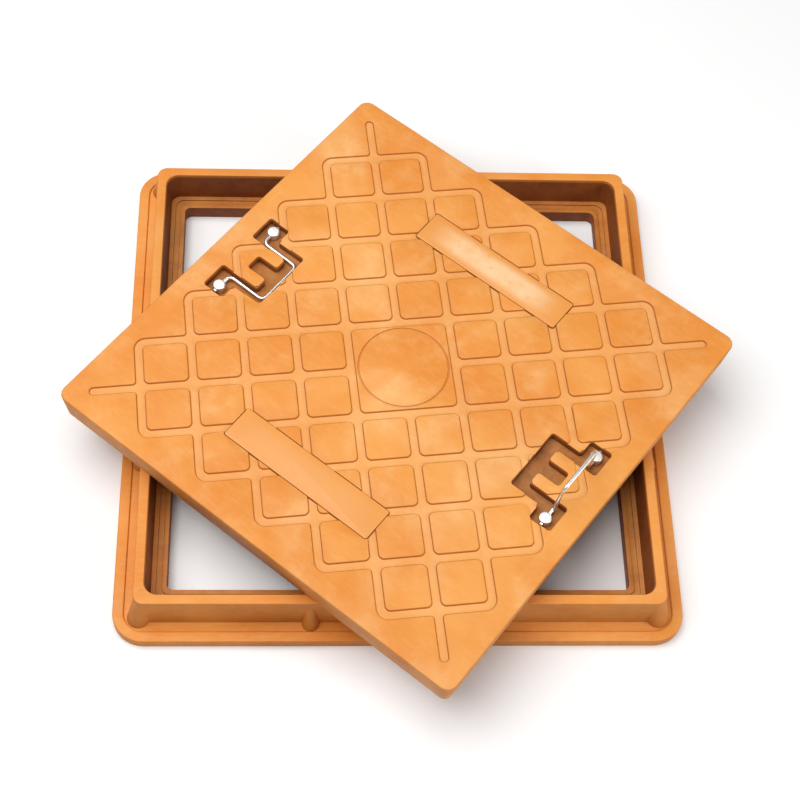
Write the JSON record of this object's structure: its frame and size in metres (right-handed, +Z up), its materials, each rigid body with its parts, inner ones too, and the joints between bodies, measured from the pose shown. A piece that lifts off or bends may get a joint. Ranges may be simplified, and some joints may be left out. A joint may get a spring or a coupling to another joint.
{
  "type": "manhole cover",
  "caption": "Square moulded composite manhole cover with a padded tread and swinging wire lift handles, lying skewed on its open flanged seat frame.",
  "frame": {"origin": "centre of the frame's clear opening, on the plane the frame stands on", "axes": "+Z up, X and Y along the frame's sides, -Y towards the side seen in front"},
  "size_m": [0.8324, 0.8324, 0.1558],
  "materials": {
    "composite": "satin moulded glass-filled polyester, mottled orange",
    "strip_composite": "smoother and paler orange, blank",
    "stainless_wire": "bright drawn stainless wire",
    "stainless_bolt": "polished stainless head",
    "zinc_steel": "zinc plated",
    "bar_steel": "bare reinforcing steel"
  },
  "bodies": {
    "frame": {"frame_body": "composite", "frame_hoop": "bar_steel"},
    "cover": {"cover_body": "composite", "cover_bars_lengthwise": "bar_steel", "cover_bars_crosswise": "bar_steel", "name_strip_front": "strip_composite", "name_strip_back": "strip_composite", "left_bolt_front": "stainless_bolt", "left_bolt_back": "stainless_bolt", "left_washer_front": "zinc_steel", "left_washer_back": "zinc_steel", "left_nut_front": "zinc_steel", "left_nut_back": "zinc_steel", "right_bolt_front": "stainless_bolt", "right_bolt_back": "stainless_bolt", "right_washer_front": "zinc_steel", "right_washer_back": "zinc_steel", "right_nut_front": "zinc_steel", "right_nut_back": "zinc_steel"},
    "left_handle": {"left_bail": "stainless_wire"},
    "right_handle": {"right_bail": "stainless_wire"}
  },
  "joints": [
    {"name": "cover_lift", "type": "slide", "parent": "frame", "child": "cover", "axis": [0, 0, 1], "range_m": [0, 0.3]},
    {"name": "left_handle_swing", "type": "hinge", "parent": "cover", "child": "left_handle", "pos_m": [-0.19105, 0.14386, 0.0985], "axis": [-0.6347, -0.7727, 0], "range_deg": [0, 97.8]},
    {"name": "right_handle_swing", "type": "hinge", "parent": "cover", "child": "right_handle", "pos_m": [0.20305, -0.17986, 0.0985], "axis": [0.6347, 0.7727, 0], "range_deg": [-97.8, 0]}
  ]
}
